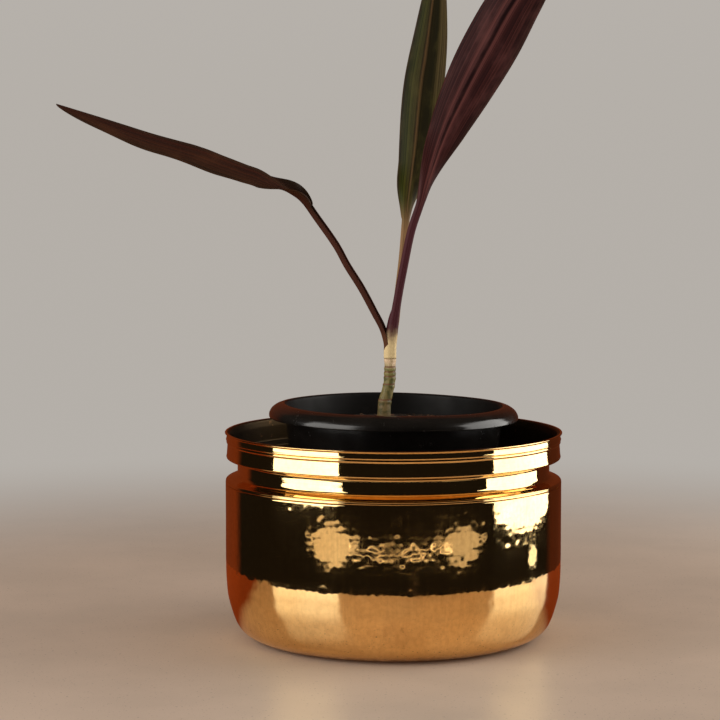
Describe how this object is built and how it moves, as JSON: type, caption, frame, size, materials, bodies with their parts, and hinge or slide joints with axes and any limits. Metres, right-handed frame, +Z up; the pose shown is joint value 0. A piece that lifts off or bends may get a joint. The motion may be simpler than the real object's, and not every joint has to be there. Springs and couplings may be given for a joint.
{
  "type": "planter pot",
  "caption": "Round hand-beaten brass planter pot with a turned, beaded collar, holding a leafy house plant in a lift-out black nursery pot.",
  "frame": {"origin": "centre of the bowl's flat base, on the surface that the pot stands on", "axes": "+Z up along the turning axis of the bowl, +X towards the viewer's right, so the long drooping leaf points to -X, and -Y towards the viewer"},
  "size_m": [0.5023, 0.301, 0.663],
  "materials": {
    "beaten_brass": "polished",
    "turned_brass": "polished",
    "black_plastic": "satin",
    "potting_mix": "matte",
    "cane": "satin",
    "maroon_leaf": "satin",
    "purple_leaf": "satin",
    "green_leaf": "satin"
  },
  "bodies": {
    "planter": {"beaten_bowl": "beaten_brass", "turned_collar": "turned_brass"},
    "potted_plant": {"nursery_pot": "black_plastic", "potting_mix": "potting_mix", "cane": "cane", "left_leaf": "maroon_leaf", "right_leaf": "purple_leaf", "back_leaf": "green_leaf"}
  },
  "joints": [
    {"name": "lift_out", "type": "slide", "parent": "planter", "child": "potted_plant", "axis": [0, 0, 1], "range_m": [0, 0.21]}
  ]
}
